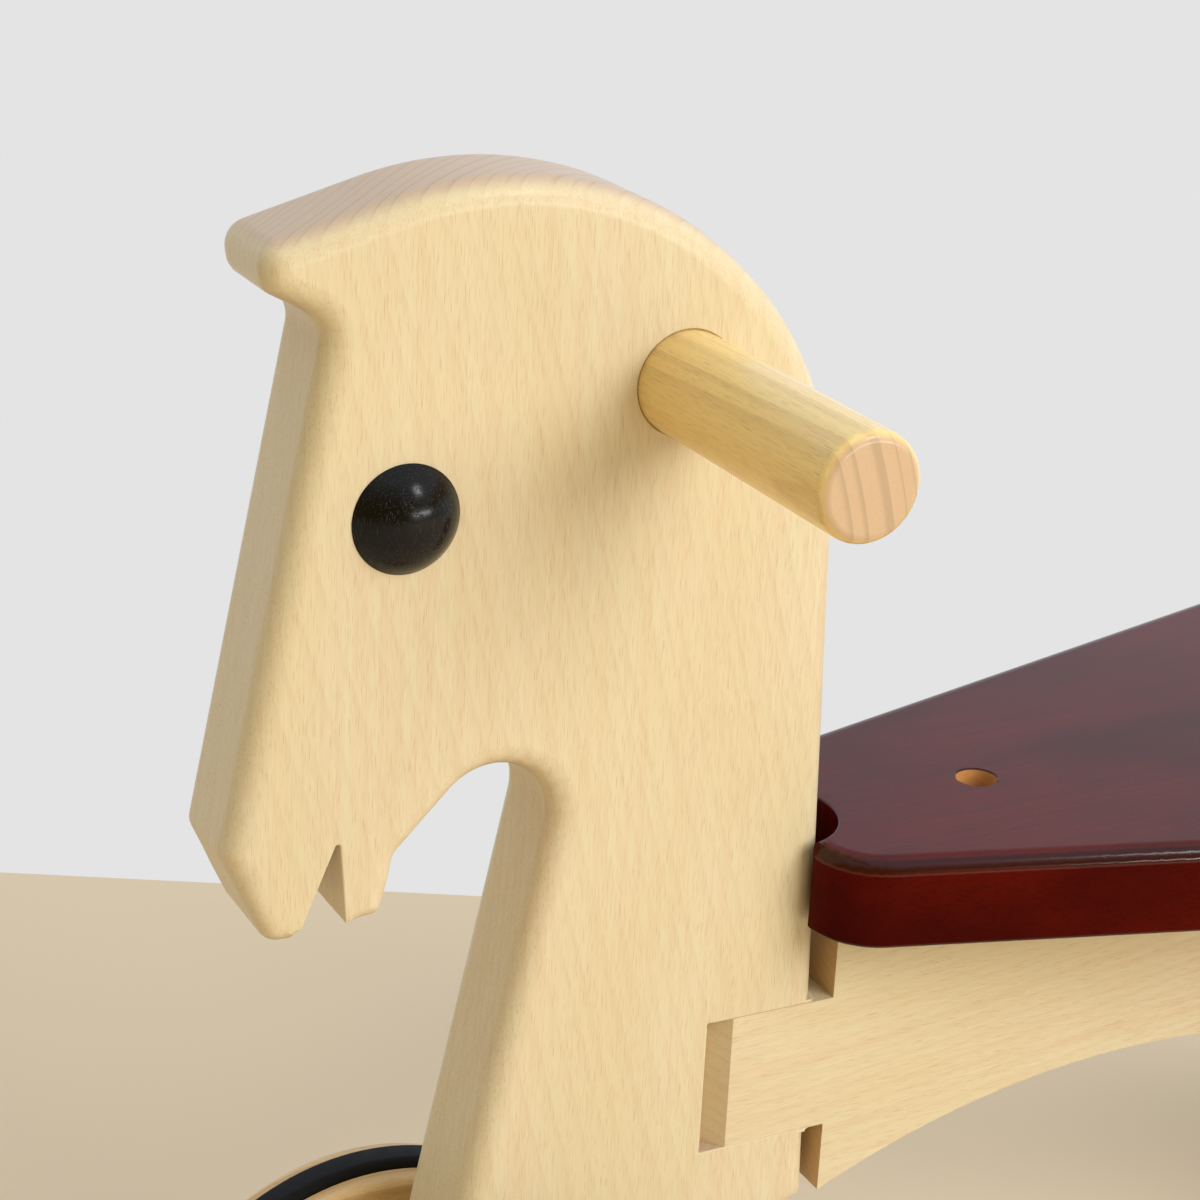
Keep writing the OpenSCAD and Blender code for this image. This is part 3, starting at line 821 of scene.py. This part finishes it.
def axle_fittings(end_name):
    """Spacers, washers and domed caps at both ends of an axle."""
    low, high = box_mm(end_name + "_caps")
    x, z = (low[0] + high[0]) / 2, (low[2] + high[2]) / 2
    cap_r, cap_end = (high[2] - low[2]) / 2, high[1]
    washer_low, washer_high = box_mm(end_name + "_washers")
    washer_r, cap_start = (washer_high[2] - washer_low[2]) / 2, washer_high[1]
    spacer_end = box_mm(end_name + "_spacers")[1][1]
    bore, washer_t, ease = 5.1, 1.5, 0.3
    caps, washers, spacers = [], [], []
    for side in (LEFT, RIGHT):
        tall = cap_end - cap_start
        crown = tall - 2.0
        profile = [(bore, cap_start), (cap_r - ease, cap_start), (cap_r, cap_start + ease),
                   (cap_r, cap_end - crown)]
        profile += arc((cap_r - crown, cap_end - crown), crown, 0, 90, 12)[1:] + [(0.0, cap_end)]
        caps.append(lathe("cap", profile, across(x, z, side)))
        for made, start, end_y, eased_by in ((washers, cap_start - washer_t, cap_start, ease),
                                             (spacers, HALF_T, spacer_end, 0.6)):
            profile = [(bore, start), (washer_r - eased_by, start), (washer_r, start + eased_by),
                       (washer_r, end_y - eased_by), (washer_r - eased_by, end_y), (bore, end_y)]
            made.append(lathe("ring", profile, across(x, z, side), closed=True))
    finish_piece(joined(end_name + "_domed_caps", caps), "horse", "steel", steel, end_name + "_caps")
    finish_piece(joined(end_name + "_flat_washers", washers), "horse", "steel", steel, end_name + "_washers")
    tubes = joined(end_name + "_tube_spacers", spacers)
    finish_piece(tubes, "horse", "nylon", plastic, end_name + "_spacers")


def cross_recess(centre, top, size, depth):
    """Two crossed bars that cut a screwdriver's recess."""
    pieces = []
    for turn in (0, 90):
        bm = bmesh.new()
        bmesh.ops.create_cube(bm, size=1.0)
        shape = Matrix.Translation(Vector((*centre, top)) * MM) @ Matrix.Rotation(math.radians(turn), 4, "Z")
        bm.transform(shape @ Matrix.Diagonal((size * MM, size * 0.28 * MM, depth * 2 * MM, 1)))
        mesh = bpy.data.meshes.new("recess")
        bm.to_mesh(mesh)
        bm.free()
        cutter = bpy.data.objects.new("recess", mesh)
        bpy.context.scene.collection.objects.link(cutter)
        pieces.append(cutter)
    return pieces


def cut(piece, cutters):
    """Removes each cutter's shape from a piece."""
    for cutter in cutters:
        boolean = piece.modifiers.new("cut", "BOOLEAN")
        boolean.object = cutter
        boolean.operation = "DIFFERENCE"
        boolean.solver = "EXACT"
        piece.modifiers.move(len(piece.modifiers) - 1, 0)
        bpy.context.view_layer.objects.active = piece
        bpy.ops.object.modifier_apply(modifier=boolean.name)
    for cutter in cutters:
        bpy.data.objects.remove(cutter)
    return piece


def seat_screws():
    low, high = box_mm("seat_screws")
    head_r = high[1]
    head_top = high[2]
    tops = face_loops("seat", 2, SEAT_HIGH[2])[1:]
    screws = []
    for loop in tops:
        cx, cy = (loop.min(0) + loop.max(0)) / 2
        head_low = head_top - 3.0
        profile = [(0.0, low[2]), (1.2, low[2] + 3), (SCREW_R, low[2] + 8), (SCREW_R, head_low - 0.2),
                   (head_r - 0.2, head_low)]
        profile += [(head_r, head_low + 0.5)]
        profile += arc((0.0, head_top - 9.0), 9.0, 62, 90, 8)

        def place(u, v, h, cx=cx, cy=cy):
            return cx + u, cy + v, h
        screw = lathe("screw", profile, place, 48)
        screws.append(cut(screw, cross_recess((cx, cy), head_top, 4.6, 1.6)))
    finish_piece(joined("seat_screw_set", screws), "horse", "steel", steel, "seat_screws")


def plain_nodes():
    """CAD nodes whose own shape is right, given their materials."""
    materials = {"front_dowels": beech_beam, "rear_dowels": beech_beam,
                 "front_axle": steel, "rear_axle": steel}
    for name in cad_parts:
        if name.endswith("_bush"):
            materials[name] = plastic
    for name, material in materials.items():
        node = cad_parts[name]
        node.data.materials.clear()
        node.data.materials.append(material)


head_board()
hind_board()
spine_beam()
seat()
handle()
eye(LEFT, "left_eye")
eye(RIGHT, "right_eye")
seat_screws()
for end_name in ("front", "rear"):
    axle_fittings(end_name)
    for side_name in ("left", "right"):
        wheel(end_name, side_name)
plain_nodes()


# ---------------------------------------------------------------- stage, light and camera
def plane(name, corners, material):
    mesh = bpy.data.meshes.new(name)
    mesh.from_pydata(corners, [], [(0, 1, 2, 3)])
    made = bpy.data.objects.new(name, mesh)
    bpy.context.scene.collection.objects.link(made)
    made.data.materials.append(material)
    return made


def paint(name, colour, roughness):
    g = Graph(name)
    g.shader.inputs["Base Color"].default_value = colour
    g.shader.inputs["Roughness"].default_value = roughness
    g.shader.inputs["Specular IOR Level"].default_value = 0.2
    return g.material


# The view's angle round the horse, and the table's reach behind it and to each side, in metres
VIEW_AZIMUTH = math.radians(-27.83)
TABLE_BACK = 0.318
TABLE_HALF = 3.0


def stage():
    """A pale table top whose far edge is square to the view, under the pale surroundings of the world."""
    table = paint("table_paint", rgb(224, 204, 172), 0.65)
    turn = Matrix.Rotation(VIEW_AZIMUTH, 3, "Z")
    corners = [(-TABLE_HALF, -TABLE_HALF), (TABLE_HALF, -TABLE_HALF), (TABLE_HALF, TABLE_BACK),
               (-TABLE_HALF, TABLE_BACK)]
    plane("table", [turn @ Vector((x, y, 0)) for x, y in corners], table)


def area_light(name, place, target, size, power, colour=(1, 1, 1)):
    data = bpy.data.lights.new(name, "AREA")
    data.shape = "RECTANGLE"
    data.size, data.size_y = size
    data.energy = power
    data.color = colour
    light = bpy.data.objects.new(name, data)
    light.location = place
    light.rotation_euler = (Vector(target) - Vector(place)).to_track_quat("-Z", "Y").to_euler()
    bpy.context.scene.collection.objects.link(light)
    return light


def surroundings():
    """Pale to the eye all round; as light, bright above and behind, darker and warmer low in front."""
    world = bpy.data.worlds.new("studio")
    world.use_nodes = True
    tree = world.node_tree
    background = tree.nodes["Background"]
    direction = tree.nodes.new("ShaderNodeTexCoord").outputs["Generated"]
    toward = tree.nodes.new("ShaderNodeVectorMath")
    toward.operation = "DOT_PRODUCT"
    toward.inputs[1].default_value = (0.42, 0.60, 0.68)
    tree.links.new(direction, toward.inputs[0])
    level_range = tree.nodes.new("ShaderNodeMapRange")
    level_range.interpolation_type = "SMOOTHSTEP"
    level_range.inputs[1].default_value = -0.45
    level_range.inputs[2].default_value = 0.50
    tree.links.new(toward.outputs["Value"], level_range.inputs[0])
    light = tree.nodes.new("ShaderNodeMix")
    light.data_type = "RGBA"
    light.inputs[6].default_value = (0.36, 0.25, 0.05, 1)
    light.inputs[7].default_value = (0.84, 0.90, 0.99, 1)
    tree.links.new(level_range.outputs[0], light.inputs[0])
    seen = tree.nodes.new("ShaderNodeMix")
    seen.data_type = "RGBA"
    seen.inputs[7].default_value = (0.775, 0.775, 0.775, 1)
    tree.links.new(tree.nodes.new("ShaderNodeLightPath").outputs["Is Camera Ray"], seen.inputs[0])
    tree.links.new(light.outputs[2], seen.inputs[6])
    tree.links.new(seen.outputs[2], background.inputs[0])
    bpy.context.scene.world = world


def lights():
    aim = (-0.1, 0, 0.25)
    key = area_light("key", (0.7, -1.5, 1.15), aim, (1.2, 1.2), 30)
    key.visible_glossy = False
    for name, place, size, power in (("strip", (0.62, -1.5, 0.42), (1.0, 0.09), 7),
                                     ("window", (0.45, -1.0, 1.25), (0.25, 0.35), 4)):
        area_light(name, place, aim, size, power).visible_diffuse = False
    surroundings()


def camera():
    """Looks past the near face of the head from ahead, to the left and above, slightly rolled."""
    azimuth, elevation, roll = VIEW_AZIMUTH, math.radians(20.85), math.radians(2.84)
    aim = Vector((HANDLE_X - 19.7, -HALF_T, HANDLE_Z - 50.5)) * MM
    distance = 0.6557
    back = Vector((math.sin(azimuth) * math.cos(elevation), -math.cos(azimuth) * math.cos(elevation),
                   math.sin(elevation)))
    right = Vector((0, 0, 1)).cross(back).normalized()
    up = back.cross(right)
    right, up = right * math.cos(roll) + up * math.sin(roll), up * math.cos(roll) - right * math.sin(roll)
    data = bpy.data.cameras.new("camera")
    data.sensor_width = 36.0
    data.lens = 84.98
    data.clip_start = 0.05
    made = bpy.data.objects.new("camera", data)
    facing = Matrix((right, up, back)).transposed().to_4x4()
    made.matrix_world = Matrix.Translation(aim + back * distance) @ facing
    bpy.context.scene.collection.objects.link(made)
    bpy.context.scene.camera = made


stage()
lights()
camera()
bpy.context.scene.view_settings.view_transform = "Standard"
